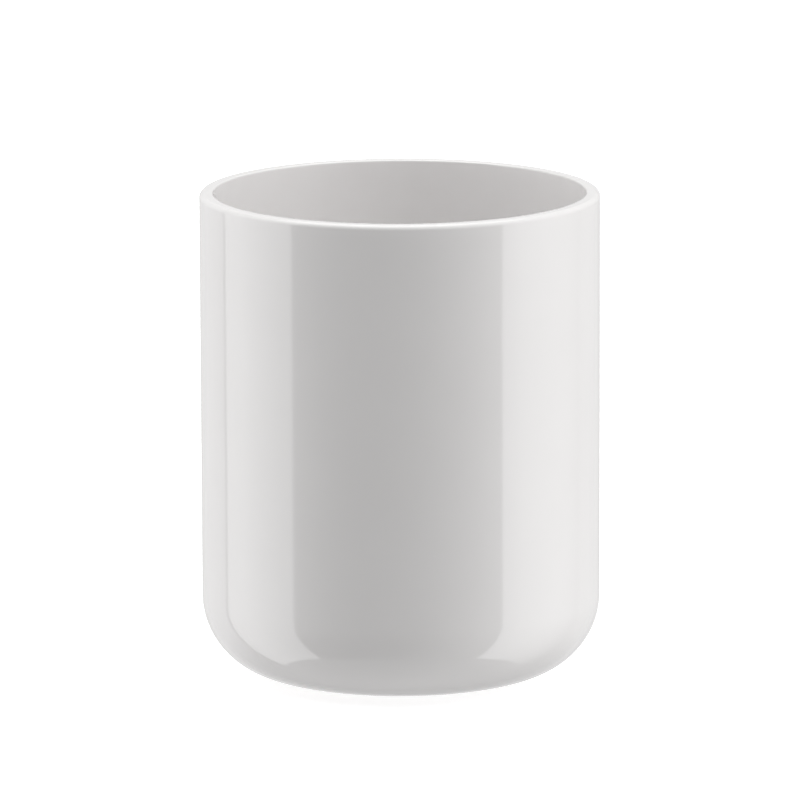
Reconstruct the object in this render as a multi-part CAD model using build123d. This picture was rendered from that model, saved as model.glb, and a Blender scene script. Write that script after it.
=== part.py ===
"""Desk pen cup: a one-piece moulded cup that stands on a non-slip pad glued into its underside.

Every piece is a solid of revolution about Z. The origin is on the axis, where the pad meets the desk.
Units are millimetres and degrees.
"""

import os
from math import radians, tan

from build123d import *

# --- Driving dimensions: the cup ---
outer_diameter = 78.0  # over the wall, at the lip
cup_height = 95.0  # the moulding alone, foot ring to lip
wall = 2.7  # at the lip; the two drafts make it thicker towards the floor
outer_draft = 0.1
inner_draft = 0.4
base_corner = 15.5  # outside radius between wall and foot ring
inside_corner = 12.0  # inside radius between wall and floor
lip_outer_round = 1.0
lip_inner_round = 0.4
floor_thickness = 3.0  # over the pad's recess

# --- Driving dimensions: the pad and its recess ---
pad_radius = 20.2
pad_thickness = 1.8
pad_stands_proud = 0.5  # lifts the foot ring off the desk
pad_edge_round = 0.4
adhesive_radius = 19.6
adhesive_thickness = 0.2
recess_clearance = 0.4  # radial, round the pad

# --- Driving dimensions: small moulded details ---
foot_inner_round = 0.5
recess_corner_round = 0.3
gate_well_radius = 3.0  # keeps the moulding gate's stub clear of the adhesive
gate_well_depth = 0.6
gate_stub_radius = 0.8
gate_stub_length = 0.35
groove_count = 4  # grip grooves in the pad's underside
first_groove_radius = 5.0
groove_pitch = 4.0
groove_width = 0.8
groove_depth = 0.5

# --- Heights and radii that follow ---
foot_height = pad_stands_proud
lip_height = foot_height + cup_height
recess_ceiling = pad_thickness + adhesive_thickness
recess_radius = pad_radius + recess_clearance
gate_well_ceiling = recess_ceiling + gate_well_depth
gate_stub_end = gate_well_ceiling - gate_stub_length
floor_height = recess_ceiling + floor_thickness


def outer_wall_radius(z):
    """Radius of the outside wall's straight line at height z, which narrows downwards."""
    return outer_diameter / 2 - (lip_height - z) * tan(radians(outer_draft))


def inner_wall_radius(z):
    """Radius of the inside wall's straight line at height z, which narrows downwards."""
    return outer_diameter / 2 - wall - (lip_height - z) * tan(radians(inner_draft))


def turned(corners):
    """The solid swept round Z by an outline of (radius, height, rounding) corners, from axis to axis."""
    points = [(radius, z) for radius, z, _ in corners]
    roundings = [rounding for _, _, rounding in corners[1:-1]]
    with BuildPart() as solid:
        with BuildSketch(Plane.XZ):
            with BuildLine():
                FilletPolyline(*points, radius=roundings)
                Line(points[-1], points[0])
            make_face()
        revolve(axis=Axis.Z)
    return solid.part


def cup_body():
    """The moulding: gate well and pad recess underneath, foot ring, wall, lip, inside and floor."""
    underside = [
        (0, gate_stub_end, 0),
        (gate_stub_radius, gate_stub_end, 0),
        (gate_stub_radius, gate_well_ceiling, 0),
        (gate_well_radius, gate_well_ceiling, recess_corner_round),
        (gate_well_radius, recess_ceiling, 0),
        (recess_radius, recess_ceiling, recess_corner_round),
        (recess_radius, foot_height, foot_inner_round),
    ]
    outside = [
        (outer_wall_radius(foot_height), foot_height, base_corner),
        (outer_wall_radius(lip_height), lip_height, lip_outer_round),
    ]
    inside = [
        (inner_wall_radius(lip_height), lip_height, lip_inner_round),
        (inner_wall_radius(floor_height), floor_height, inside_corner),
        (0, floor_height, 0),
    ]
    return turned(underside + outside + inside)


def pad_adhesive():
    """The double-sided disc between the recess's ceiling and the pad."""
    return turned([
        (0, pad_thickness, 0),
        (adhesive_radius, pad_thickness, 0),
        (adhesive_radius, recess_ceiling, 0),
        (0, recess_ceiling, 0),
    ])


def non_slip_pad():
    """The elastomer disc that the cup stands on, with concentric grip grooves in its underside."""
    outline = [(0, 0, 0)]
    for index in range(groove_count):
        middle = first_groove_radius + index * groove_pitch
        near, far = middle - groove_width / 2, middle + groove_width / 2
        outline += [(near, 0, 0), (near, groove_depth, 0), (far, groove_depth, 0), (far, 0, 0)]
    outline += [
        (pad_radius, 0, pad_edge_round),
        (pad_radius, pad_thickness, 0),
        (0, pad_thickness, 0),
    ]
    return turned(outline)


os.makedirs("parts", exist_ok=True)
for make in (cup_body, pad_adhesive, non_slip_pad):
    piece = make()
    export_step(piece, f"parts/{make.__name__}.step")
    print(make.__name__, "volume", round(piece.volume, 1), "size", piece.bounding_box().size)
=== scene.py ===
"""Desk pen cup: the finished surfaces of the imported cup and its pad, in a plain white studio.

Lengths are millimetres until MM turns them into Blender's metres, and angles are degrees.
The cup's axis is Z and the desk is at height 0. Azimuth 0 is the side that faces the camera,
which looks along +Y, and azimuth grows towards +X.
"""

from math import acos, ceil, cos, hypot, pi, radians, sin, tan

import bpy
from mathutils import Matrix, Vector


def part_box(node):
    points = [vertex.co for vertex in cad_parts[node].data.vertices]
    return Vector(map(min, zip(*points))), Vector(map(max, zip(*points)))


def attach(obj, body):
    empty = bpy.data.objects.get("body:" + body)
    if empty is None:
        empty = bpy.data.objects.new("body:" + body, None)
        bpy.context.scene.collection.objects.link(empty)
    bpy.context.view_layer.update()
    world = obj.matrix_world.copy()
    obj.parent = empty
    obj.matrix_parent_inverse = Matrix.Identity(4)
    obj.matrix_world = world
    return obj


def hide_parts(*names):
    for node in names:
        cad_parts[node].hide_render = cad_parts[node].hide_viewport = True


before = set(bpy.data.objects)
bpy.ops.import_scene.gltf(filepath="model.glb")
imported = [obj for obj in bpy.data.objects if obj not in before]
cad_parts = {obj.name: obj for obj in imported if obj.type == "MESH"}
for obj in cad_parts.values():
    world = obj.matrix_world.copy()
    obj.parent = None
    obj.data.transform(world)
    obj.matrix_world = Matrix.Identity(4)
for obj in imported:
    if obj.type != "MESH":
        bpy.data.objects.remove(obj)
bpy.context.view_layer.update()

MM = 0.001

# --- Sizes read from the frame ---
cup_low, cup_high = (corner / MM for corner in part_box("cup_body"))
film_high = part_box("pad_adhesive")[1] / MM
pad_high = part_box("non_slip_pad")[1] / MM
rim_radius = cup_high.x
foot_height = cup_low.z
lip_height = cup_high.z
pad_radius = pad_high.x
pad_thickness = pad_high.z
recess_ceiling = film_high.z

# --- The cup's moulded form ---
wall = 2.7  # at the lip; the two drafts make it thicker towards the floor
outer_draft = 0.1
inner_draft = 0.4
base_corner = 15.5
inside_corner = 12.0
lip_outer_round = 1.0
lip_inner_round = 0.4
floor_thickness = 3.0
recess_clearance = 0.4
recess_corner_round = 0.3
recess_edge_round = 0.15
foot_inner_round = 0.5
gate_well_radius = 3.0
gate_well_depth = 0.6
gate_stub_radius = 0.8
gate_stub_length = 0.35
gate_stub_round = 0.12

# --- The pad's form ---
pad_edge_round = 0.4
pad_back_round = 0.15
groove_count = 4
first_groove_radius = 5.0
groove_pitch = 4.0
groove_width = 0.8
groove_depth = 0.5
groove_edge_round = 0.12

# --- Heights and radii that follow ---
recess_radius = pad_radius + recess_clearance
gate_well_ceiling = recess_ceiling + gate_well_depth
gate_stub_end = gate_well_ceiling - gate_stub_length
floor_height = recess_ceiling + floor_thickness

# --- How finely round shapes are divided ---
ring_points = 256
arc_error = 0.003  # how far a rounding's flat steps may stray from its true arc
fewest_arc_steps = 6
longest_stretch = 2.5  # of a straight part of an outline
smallest_ring = 1e-6  # an outline's point nearer the axis than this becomes one vertex, not a ring
sharp_edge = 30.0  # degrees between faces, above which the edge between them isn't smoothed

# --- Where a noise texture's values mostly lie ---
noise_low = 0.3
noise_high = 0.7

# --- The floor, and the white paper that the camera sees behind it ---
floor_half_size = 6000.0
floor_colour = (0.9, 0.9, 0.9, 1)
floor_glow = 0.45  # the floor's own light, which keeps it white outside the contact shadow
paper_level = 1.05  # just past white, so that the paper has no tint

# --- The lights ---
# Each is a list of (azimuth, level) pairs times its _up list of (elevation, level) pairs. Between pairs
# the level changes evenly with the azimuth, or with the elevation's sine. White paper is 1.
panel_reach = 52.0  # how far the lights at the sides, front and back reach above and below the horizon
panel_blur = 0.5  # how softly they end there
side_panels = [
    (-120.8, 0.0), (-119.8, 1.4), (-102, 2.2), (-84, 2.3), (-65.3, 2.3), (-64.3, 0.0),
    (60.3, 0.0), (61.3, 2.5), (75, 2.6), (125, 0.5), (126, 0.0),
]
side_panels_up = [(-30, 1.0), (30, 0.65)]
front = [(-65, 0.0), (-10, 0.4), (26, 1.0), (60.3, 1.0), (61.3, 0.0)]
front_up = [(-40, 0.4), (-11, 0.1), (20, 1.0)]
backdrop = [(-180, 0.8), (-123, 0.85), (-122, 0.0), (125, 0.0), (126, 0.65), (180, 0.8)]
backdrop_up = [(-45, 0.4), (-25, 1.0), (10, 0.75), (40, 0.4)]
within_reach = [
    (-panel_reach - panel_blur, 0.0), (-panel_reach + panel_blur, 1.0),
    (panel_reach - panel_blur, 1.0), (panel_reach + panel_blur, 0.0),
]
overhead = [(-180, 2.9), (-90, 1.6), (0, 0.8), (90, 1.4), (180, 2.9)]
overhead_up = [(panel_reach, 0.0), (panel_reach + panel_blur, 1.0), (65, 1.0), (85, 0.0)]
from_below = [(-180, 0.3), (-90, 0.5), (0, 0.65), (90, 0.35), (180, 0.3)]
from_below_up = [(-85, 0.0), (-65, 1.0), (-panel_reach - panel_blur, 1.0), (-panel_reach, 0.0)]
straight_up_and_down = [(-85, 0.6), (-65, 0.0), (65, 0.0), (85, 2.5)]  # the same at each azimuth

# --- The camera ---
camera_elevation = 10.86
camera_roll = -0.19
camera_distance = 2209.7
camera_aim = Vector((-0.07, 0.0, 54.17))  # at the image's centre, a little above the cup's middle
camera_lens = 509.64
camera_sensor = 36.0


def outer_wall_radius(z):
    """Radius of the outside wall's straight line, which is widest where the lip's rounding starts."""
    return rim_radius - (lip_height - lip_outer_round - z) * tan(radians(outer_draft))


def inner_wall_radius(z):
    """Radius of the inside wall's straight line, which narrows downwards."""
    return outer_wall_radius(lip_height) - wall - (lip_height - z) * tan(radians(inner_draft))


def rounded(corners):
    """Points along an outline of (radius, height, rounding) corners, each rounding a tangent arc."""
    points = [Vector(corners[0][:2])]
    for before, corner, after in zip(corners, corners[1:], corners[2:]):
        here = Vector(corner[:2])
        rounding = corner[2]
        if not rounding:
            points.append(here)
            continue
        arriving = (Vector(before[:2]) - here).normalized()
        leaving = (Vector(after[:2]) - here).normalized()
        half_opening = arriving.angle(leaving) / 2
        centre = here + (arriving + leaving).normalized() * rounding / sin(half_opening)
        start = here + arriving * rounding / tan(half_opening) - centre
        turn = start.angle_signed(here + leaving * rounding / tan(half_opening) - centre)
        step_turn = 2 * acos(1 - arc_error / rounding)
        steps = max(fewest_arc_steps, ceil(abs(turn) / step_turn))
        for step in range(steps + 1):
            points.append(centre + Matrix.Rotation(-turn * step / steps, 2) @ start)
    points.append(Vector(corners[-1][:2]))
    return points


def divided(points):
    """The same outline with each long straight stretch cut evenly into shorter ones."""
    fine = [points[0]]
    for start, end in zip(points, points[1:]):
        pieces = ceil((end - start).length / longest_stretch)
        fine += [start.lerp(end, piece / pieces) for piece in range(1, pieces + 1)]
    return fine


def turned(name, corners):
    """A closed mesh object swept round Z by an outline that starts and ends on the axis."""
    outline = divided(rounded(corners))
    vertices = []
    rings = []
    for radius, z in outline:
        on_axis = radius < smallest_ring
        ring = []
        for point in range(1 if on_axis else ring_points):
            angle = 2 * pi * point / ring_points
            ring.append(len(vertices))
            vertices.append((radius * cos(angle) * MM, radius * sin(angle) * MM, z * MM))
        rings.append(ring * ring_points if on_axis else ring)
    faces = []
    for low, high in zip(rings, rings[1:]):
        for this in range(ring_points):
            following = (this + 1) % ring_points
            loop = (low[this], low[following], high[following], high[this])
            faces.append(tuple(dict.fromkeys(loop)))
    mesh = bpy.data.meshes.new(name)
    mesh.from_pydata(vertices, [], faces)
    mesh.shade_smooth()
    mesh.set_sharp_from_angle(angle=radians(sharp_edge))
    piece = bpy.data.objects.new(name, mesh)
    bpy.context.scene.collection.objects.link(piece)
    return piece


# --- Shader nodes ---

def add_node(tree, kind, settings=None, **inputs):
    """A new node. Inputs go by name, with _ for spaces, and are plain values or other nodes' outputs."""
    made = tree.nodes.new(kind)
    for name, value in (settings or {}).items():
        setattr(made, name, value)
    for name, value in inputs.items():
        join(tree, made.inputs[name.replace("_", " ")], value)
    return made


def join(tree, socket, value):
    """Sets a socket to a plain value, or links another node's output to it."""
    if isinstance(value, bpy.types.NodeSocket):
        tree.links.new(value, socket)
    else:
        socket.default_value = value


def calculate(tree, operation, *values):
    """The output of a Math node."""
    made = tree.nodes.new("ShaderNodeMath")
    made.operation = operation
    for socket, value in zip(made.inputs, values):
        join(tree, socket, value)
    return made.outputs["Value"]


def ramp(tree, factor, stops):
    """The colour output of a straight-line ColorRamp with (position, grey level or colour) stops."""
    made = add_node(tree, "ShaderNodeValToRGB", Fac=factor)
    elements = made.color_ramp.elements
    while len(elements) < len(stops):
        elements.new(1.0)
    for element, (position, level) in zip(elements, stops):
        element.position = position
        element.color = (*level, 1) if isinstance(level, tuple) else (level, level, level, 1)
    return made.outputs["Color"]


def spread(tree, factor, low, high):
    """A noise value, which stays near 0.5, spread over the range from low to high."""
    made = add_node(tree, "ShaderNodeMapRange", Value=factor, From_Min=noise_low, From_Max=noise_high,
                    To_Min=low, To_Max=high)
    return made.outputs["Result"]


def noise(tree, place, feature, detail=2.0, roughness=0.5):
    """The value of a noise texture whose features are about this many millimetres across."""
    made = add_node(tree, "ShaderNodeTexNoise", Vector=place, Scale=1 / (feature * MM),
                    Detail=detail, Roughness=roughness)
    return made.outputs["Fac"]


def bump(tree, height, depth, under=None):
    """The normal of a relief this many millimetres deep, on top of another normal if one is given."""
    made = add_node(tree, "ShaderNodeBump", Height=height, Distance=depth * MM)
    if under:
        tree.links.new(under, made.inputs["Normal"])
    return made.outputs["Normal"]


def new_material(name, ior, specular=0.5):
    """A material with its tree, its Principled shader and the object's own coordinates."""
    material = bpy.data.materials.new(name)
    material.use_nodes = True
    tree = material.node_tree
    shader = tree.nodes["Principled BSDF"]
    shader.inputs["IOR"].default_value = ior
    shader.inputs["Specular IOR Level"].default_value = specular
    place = add_node(tree, "ShaderNodeTexCoord").outputs["Object"]
    return material, tree, shader, place


# --- Materials ---

def gloss_plastic():
    """Polished white moulding: warm neutral white, faint waviness and a very fine surface texture."""
    material, tree, shader, place = new_material("white_gloss_plastic", ior=1.5)
    tone = noise(tree, place, feature=18, detail=3.0)
    join(tree, shader.inputs["Base Color"], ramp(tree, tone, [
        (noise_low, (0.876, 0.862, 0.857)),
        (noise_high, (0.890, 0.876, 0.871)),
    ]))
    polish = noise(tree, place, feature=6, detail=4.0, roughness=0.6)
    join(tree, shader.inputs["Roughness"], spread(tree, polish, 0.045, 0.07))
    waviness = bump(tree, noise(tree, place, feature=25, detail=1.0), depth=0.02)
    grain = bump(tree, noise(tree, place, feature=0.35, detail=2.0), depth=0.0006, under=waviness)
    join(tree, shader.inputs["Normal"], grain)
    return material


def satin_plastic():
    """The same white plastic where the mould is left unpolished: the underside's recess."""
    material, tree, shader, place = new_material("white_satin_plastic", ior=1.5)
    tone = noise(tree, place, feature=9, detail=3.0)
    join(tree, shader.inputs["Base Color"], ramp(tree, tone, [
        (noise_low, (0.858, 0.844, 0.839)),
        (noise_high, (0.880, 0.866, 0.861)),
    ]))
    polish = noise(tree, place, feature=2, detail=4.0, roughness=0.6)
    join(tree, shader.inputs["Roughness"], spread(tree, polish, 0.42, 0.55))
    texture = bump(tree, noise(tree, place, feature=0.22, detail=3.0), depth=0.02)
    join(tree, shader.inputs["Normal"], texture)
    return material


def elastomer():
    """Light grey non-slip elastomer: matt, finely grained, slightly mottled."""
    material, tree, shader, place = new_material("pad_elastomer", ior=1.45, specular=0.4)
    tone = noise(tree, place, feature=4, detail=5.0, roughness=0.65)
    join(tree, shader.inputs["Base Color"], ramp(tree, tone, [
        (noise_low, (0.585, 0.585, 0.575)),
        (noise_high, (0.650, 0.650, 0.640)),
    ]))
    bloom = noise(tree, place, feature=7, detail=4.0)
    join(tree, shader.inputs["Roughness"], spread(tree, bloom, 0.66, 0.82))
    grain = bump(tree, noise(tree, place, feature=0.3, detail=3.0, roughness=0.6), depth=0.03)
    join(tree, shader.inputs["Normal"], grain)
    return material


def adhesive_film():
    """Dull double-sided film, with the fibres of its carrier tissue."""
    material, tree, shader, place = new_material("adhesive_film", ior=1.45, specular=0.4)
    fibres = add_node(tree, "ShaderNodeTexWave", {"bands_direction": "DIAGONAL"}, Vector=place,
                      Scale=700.0, Distortion=9.0, Detail=3.0, Detail_Scale=2.0)
    join(tree, shader.inputs["Base Color"], ramp(tree, fibres.outputs["Fac"], [
        (0.0, (0.770, 0.760, 0.705)),
        (1.0, (0.830, 0.820, 0.775)),
    ]))
    shine = noise(tree, place, feature=3, detail=3.0)
    join(tree, shader.inputs["Roughness"], spread(tree, shine, 0.5, 0.7))
    join(tree, shader.inputs["Normal"], bump(tree, fibres.outputs["Fac"], depth=0.01))
    return material


def floor_white():
    """Bright white floor that shows only the cup's contact shadow, and is see-through from below."""
    material = bpy.data.materials.new("studio_floor")
    material.use_nodes = True
    tree = material.node_tree
    tree.nodes.remove(tree.nodes["Principled BSDF"])
    paper = add_node(tree, "ShaderNodeBsdfDiffuse", Color=floor_colour)
    glow = add_node(tree, "ShaderNodeEmission", Strength=floor_glow)
    lit = tree.nodes.new("ShaderNodeAddShader")
    join(tree, lit.inputs[0], paper.outputs["BSDF"])
    join(tree, lit.inputs[1], glow.outputs["Emission"])
    one_sided = tree.nodes.new("ShaderNodeMixShader")
    backfacing = add_node(tree, "ShaderNodeNewGeometry").outputs["Backfacing"]
    join(tree, one_sided.inputs[0], backfacing)
    join(tree, one_sided.inputs[1], lit.outputs["Shader"])
    join(tree, one_sided.inputs[2], tree.nodes.new("ShaderNodeBsdfTransparent").outputs["BSDF"])
    join(tree, tree.nodes["Material Output"].inputs["Surface"], one_sided.outputs["Shader"])
    return material


# --- The pieces ---

def make_cup():
    """The moulding: gate well and pad recess underneath, foot ring, wall, lip, inside and floor."""
    underside = [
        (0, gate_stub_end, 0),
        (gate_stub_radius, gate_stub_end, gate_stub_round),
        (gate_stub_radius, gate_well_ceiling, 0),
        (gate_well_radius, gate_well_ceiling, recess_corner_round),
        (gate_well_radius, recess_ceiling, recess_edge_round),
        (recess_radius, recess_ceiling, recess_corner_round),
        (recess_radius, foot_height, foot_inner_round),
    ]
    outside = [
        (outer_wall_radius(foot_height), foot_height, base_corner),
        (outer_wall_radius(lip_height), lip_height, lip_outer_round),
    ]
    inside = [
        (inner_wall_radius(lip_height), lip_height, lip_inner_round),
        (inner_wall_radius(floor_height), floor_height, inside_corner),
        (0, floor_height, 0),
    ]
    cup = turned("cup_shell", underside + outside + inside)
    cup.data.materials.append(gloss_plastic())
    cup.data.materials.append(satin_plastic())
    for face in cup.data.polygons:
        in_recess = hypot(face.center.x, face.center.y) < recess_radius * MM
        below_floor = face.center.z < (gate_well_ceiling + floor_height) / 2 * MM
        face.material_index = 1 if in_recess and below_floor else 0
    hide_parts("cup_body")
    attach(cup, "root")


def make_pad():
    """The elastomer disc, with concentric grip grooves in its underside."""
    corners = [(0, 0, 0)]
    for index in range(groove_count):
        middle = first_groove_radius + index * groove_pitch
        near = middle - groove_width / 2
        far = middle + groove_width / 2
        corners += [
            (near, 0, groove_edge_round),
            (near, groove_depth, groove_edge_round),
            (far, groove_depth, groove_edge_round),
            (far, 0, groove_edge_round),
        ]
    corners += [
        (pad_radius, 0, pad_edge_round),
        (pad_radius, pad_thickness, pad_back_round),
        (0, pad_thickness, 0),
    ]
    pad = turned("grip_pad", corners)
    pad.data.materials.append(elastomer())
    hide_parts("non_slip_pad")
    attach(pad, "root")


def finish_film():
    """Gives the CAD film its own material. Its shape stays."""
    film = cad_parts["pad_adhesive"]
    film.data.materials.clear()
    film.data.materials.append(adhesive_film())


# --- The studio ---

def make_floor():
    """The white floor. Only the camera sees it, so it neither blocks nor returns any light."""
    edge = floor_half_size * MM
    mesh = bpy.data.meshes.new("floor")
    corners = [(-edge, -edge, 0), (edge, -edge, 0), (edge, edge, 0), (-edge, edge, 0)]
    mesh.from_pydata(corners, [], [(0, 1, 2, 3)])
    floor = bpy.data.objects.new("floor", mesh)
    bpy.context.scene.collection.objects.link(floor)
    floor.data.materials.append(floor_white())
    floor.visible_diffuse = False
    floor.visible_glossy = False
    floor.visible_shadow = False


def make_studio():
    """Light from all round: tall side panels, a dim front, a backdrop and a wide light overhead."""
    world = bpy.data.worlds.new("studio")
    world.use_nodes = True
    bpy.context.scene.world = world
    tree = world.node_tree
    tree.nodes.clear()
    direction = add_node(tree, "ShaderNodeTexCoord").outputs["Generated"]
    facing = add_node(tree, "ShaderNodeMapping", Vector=direction, Rotation=(0, 0, radians(90)))
    turn = add_node(tree, "ShaderNodeTexGradient", {"gradient_type": "RADIAL"},
                    Vector=facing.outputs["Vector"]).outputs["Fac"]
    rise = add_node(tree, "ShaderNodeSeparateXYZ", Vector=direction).outputs["Z"]
    height = calculate(tree, "MULTIPLY_ADD", rise, 0.5, 0.5)  # from 0, straight down, to 1, straight up

    def around(levels):
        """The levels for each azimuth."""
        return ramp(tree, turn, [(azimuth / 360 + 0.5, level) for azimuth, level in levels])

    def upward(levels):
        """The levels for each elevation."""
        return ramp(tree, height, [((sin(radians(angle)) + 1) / 2, level) for angle, level in levels])

    light = upward(straight_up_and_down)
    for levels, levels_up in ((overhead, overhead_up), (from_below, from_below_up)):
        light = calculate(tree, "MULTIPLY_ADD", around(levels), upward(levels_up), light)
    reach = upward(within_reach)
    for levels, levels_up in ((side_panels, side_panels_up), (front, front_up), (backdrop, backdrop_up)):
        level = calculate(tree, "MULTIPLY", around(levels), upward(levels_up))
        light = calculate(tree, "MULTIPLY_ADD", level, reach, light)

    studio = add_node(tree, "ShaderNodeBackground", Color=light)
    paper = add_node(tree, "ShaderNodeBackground", Color=(1, 1, 1, 1), Strength=paper_level)
    seen = tree.nodes.new("ShaderNodeMixShader")
    join(tree, seen.inputs[0], add_node(tree, "ShaderNodeLightPath").outputs["Is Camera Ray"])
    join(tree, seen.inputs[1], studio.outputs["Background"])
    join(tree, seen.inputs[2], paper.outputs["Background"])
    output = tree.nodes.new("ShaderNodeOutputWorld")
    join(tree, output.inputs["Surface"], seen.outputs["Shader"])


# --- The camera ---

def make_camera():
    """A long lens from slightly above the lip, with a slight roll."""
    tilt = radians(camera_elevation)
    roll = radians(camera_roll)
    level_right = Vector((1, 0, 0))
    level_up = Vector((0, sin(tilt), cos(tilt)))
    backward = Vector((0, -cos(tilt), sin(tilt)))
    right = level_right * cos(roll) + level_up * sin(roll)
    up = level_up * cos(roll) - level_right * sin(roll)
    data = bpy.data.cameras.new("camera")
    data.sensor_width = camera_sensor
    data.lens = camera_lens
    camera = bpy.data.objects.new("camera", data)
    axes = Matrix((right, up, backward)).transposed().to_4x4()
    camera.matrix_world = Matrix.Translation((camera_aim + backward * camera_distance) * MM) @ axes
    bpy.context.scene.collection.objects.link(camera)
    bpy.context.scene.camera = camera


make_camera()
make_cup()
make_pad()
finish_film()
make_floor()
make_studio()

bpy.context.scene.view_settings.view_transform = "Standard"
